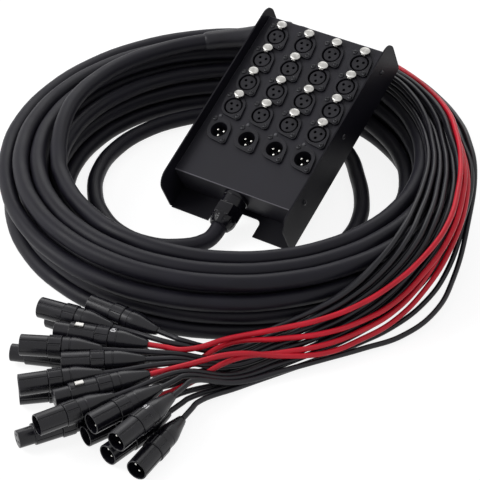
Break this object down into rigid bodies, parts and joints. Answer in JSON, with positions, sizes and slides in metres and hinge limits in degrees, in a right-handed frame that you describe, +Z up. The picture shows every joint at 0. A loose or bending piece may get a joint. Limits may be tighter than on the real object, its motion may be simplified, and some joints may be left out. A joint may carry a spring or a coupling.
{
  "type": "stage box snake",
  "caption": "Steel stage box with panels of three-pin jacks leaning on a coil of multicore cable, with a break-out sleeve, thin tails and a fan of cable plugs.",
  "frame": {"origin": "centre of the steel box's footprint, at the floor that its lowest edge stands on", "axes": "+X across the box to the right, +Y along the floor from the gland end to the raised far end, +Z up"},
  "size_m": [0.4937, 0.6374, 0.1387],
  "materials": {
    "black_steel": "satin black",
    "jack_black": "satin moulded",
    "nickel": "satin nickel plate",
    "gland_nylon": "moulded nylon",
    "multicore_jacket": "smooth flexible jacket",
    "tail_jacket": "smooth thin jacket",
    "red_jacket": "smooth thin jacket",
    "plug_black": "black chromed shell and moulded boot"
  },
  "bodies": {
    "snake": {"body_channel": "black_steel", "panel_cover": "black_steel", "male_jack_1": "jack_black", "male_jack_2": "jack_black", "male_jack_3": "jack_black", "male_jack_4": "jack_black", "female_jacks_row_1": "jack_black", "female_jacks_row_2": "jack_black", "female_jacks_row_3": "jack_black", "female_jacks_row_4": "jack_black", "gland_body": "gland_nylon", "gland_nut": "gland_nylon", "multicore_coil": "multicore_jacket", "multicore_lead": "multicore_jacket", "breakout_sleeve": "multicore_jacket", "tails_black_1": "tail_jacket", "tails_black_2": "tail_jacket", "tails_black_3": "tail_jacket", "tails_red": "red_jacket", "tails_black_4": "tail_jacket", "plug_male_1": "plug_black", "plug_male_2": "plug_black", "plug_male_3": "plug_black", "plug_male_4": "plug_black", "plug_male_5": "plug_black", "plug_male_6": "plug_black", "plug_male_7": "plug_black", "plug_male_8": "plug_black", "plug_male_9": "plug_black", "plug_male_10": "plug_black", "plug_male_11": "plug_black", "plug_male_12": "plug_black", "plug_male_13": "plug_black", "plug_male_14": "plug_black", "plug_male_15": "plug_black", "plug_male_16": "plug_black", "plug_female_1": "plug_black", "plug_female_2": "plug_black", "plug_female_3": "plug_black", "plug_female_4": "plug_black"},
    "push_tab_1_body": {"push_tab_1": "nickel"},
    "push_tab_2_body": {"push_tab_2": "nickel"},
    "push_tab_3_body": {"push_tab_3": "nickel"},
    "push_tab_4_body": {"push_tab_4": "nickel"},
    "push_tab_5_body": {"push_tab_5": "nickel"},
    "push_tab_6_body": {"push_tab_6": "nickel"},
    "push_tab_7_body": {"push_tab_7": "nickel"},
    "push_tab_8_body": {"push_tab_8": "nickel"},
    "push_tab_9_body": {"push_tab_9": "nickel"},
    "push_tab_10_body": {"push_tab_10": "nickel"},
    "push_tab_11_body": {"push_tab_11": "nickel"},
    "push_tab_12_body": {"push_tab_12": "nickel"},
    "push_tab_13_body": {"push_tab_13": "nickel"},
    "push_tab_14_body": {"push_tab_14": "nickel"},
    "push_tab_15_body": {"push_tab_15": "nickel"},
    "push_tab_16_body": {"push_tab_16": "nickel"},
    "latch_button_1_body": {"latch_button_1": "nickel"},
    "latch_button_2_body": {"latch_button_2": "nickel"},
    "latch_button_3_body": {"latch_button_3": "nickel"},
    "latch_button_4_body": {"latch_button_4": "nickel"}
  },
  "joints": [
    {"name": "push_tab_1_press", "type": "slide", "parent": "snake", "child": "push_tab_1_body", "axis": [0, 0.4399, -0.898], "range_m": [0, 0.0018], "stiffness_N_per_m": 400},
    {"name": "push_tab_2_press", "type": "slide", "parent": "snake", "child": "push_tab_2_body", "axis": [0, 0.4399, -0.898], "range_m": [0, 0.0018], "stiffness_N_per_m": 400},
    {"name": "push_tab_3_press", "type": "slide", "parent": "snake", "child": "push_tab_3_body", "axis": [0, 0.4399, -0.898], "range_m": [0, 0.0018], "stiffness_N_per_m": 400},
    {"name": "push_tab_4_press", "type": "slide", "parent": "snake", "child": "push_tab_4_body", "axis": [0, 0.4399, -0.898], "range_m": [0, 0.0018], "stiffness_N_per_m": 400},
    {"name": "push_tab_5_press", "type": "slide", "parent": "snake", "child": "push_tab_5_body", "axis": [0, 0.4399, -0.898], "range_m": [0, 0.0018], "stiffness_N_per_m": 400},
    {"name": "push_tab_6_press", "type": "slide", "parent": "snake", "child": "push_tab_6_body", "axis": [0, 0.4399, -0.898], "range_m": [0, 0.0018], "stiffness_N_per_m": 400},
    {"name": "push_tab_7_press", "type": "slide", "parent": "snake", "child": "push_tab_7_body", "axis": [0, 0.4399, -0.898], "range_m": [0, 0.0018], "stiffness_N_per_m": 400},
    {"name": "push_tab_8_press", "type": "slide", "parent": "snake", "child": "push_tab_8_body", "axis": [0, 0.4399, -0.898], "range_m": [0, 0.0018], "stiffness_N_per_m": 400},
    {"name": "push_tab_9_press", "type": "slide", "parent": "snake", "child": "push_tab_9_body", "axis": [0, 0.4399, -0.898], "range_m": [0, 0.0018], "stiffness_N_per_m": 400},
    {"name": "push_tab_10_press", "type": "slide", "parent": "snake", "child": "push_tab_10_body", "axis": [0, 0.4399, -0.898], "range_m": [0, 0.0018], "stiffness_N_per_m": 400},
    {"name": "push_tab_11_press", "type": "slide", "parent": "snake", "child": "push_tab_11_body", "axis": [0, 0.4399, -0.898], "range_m": [0, 0.0018], "stiffness_N_per_m": 400},
    {"name": "push_tab_12_press", "type": "slide", "parent": "snake", "child": "push_tab_12_body", "axis": [0, 0.4399, -0.898], "range_m": [0, 0.0018], "stiffness_N_per_m": 400},
    {"name": "push_tab_13_press", "type": "slide", "parent": "snake", "child": "push_tab_13_body", "axis": [0, 0.4399, -0.898], "range_m": [0, 0.0018], "stiffness_N_per_m": 400},
    {"name": "push_tab_14_press", "type": "slide", "parent": "snake", "child": "push_tab_14_body", "axis": [0, 0.4399, -0.898], "range_m": [0, 0.0018], "stiffness_N_per_m": 400},
    {"name": "push_tab_15_press", "type": "slide", "parent": "snake", "child": "push_tab_15_body", "axis": [0, 0.4399, -0.898], "range_m": [0, 0.0018], "stiffness_N_per_m": 400},
    {"name": "push_tab_16_press", "type": "slide", "parent": "snake", "child": "push_tab_16_body", "axis": [0, 0.4399, -0.898], "range_m": [0, 0.0018], "stiffness_N_per_m": 400},
    {"name": "latch_button_1_press", "type": "slide", "parent": "snake", "child": "latch_button_1_body", "axis": [0, 0, -1], "range_m": [0, 0.0012], "stiffness_N_per_m": 400},
    {"name": "latch_button_2_press", "type": "slide", "parent": "snake", "child": "latch_button_2_body", "axis": [0, 0, -1], "range_m": [0, 0.0012], "stiffness_N_per_m": 400},
    {"name": "latch_button_3_press", "type": "slide", "parent": "snake", "child": "latch_button_3_body", "axis": [0, 0, -1], "range_m": [0, 0.0012], "stiffness_N_per_m": 400},
    {"name": "latch_button_4_press", "type": "slide", "parent": "snake", "child": "latch_button_4_body", "axis": [0, 0, -1], "range_m": [0, 0.0012], "stiffness_N_per_m": 400}
  ]
}
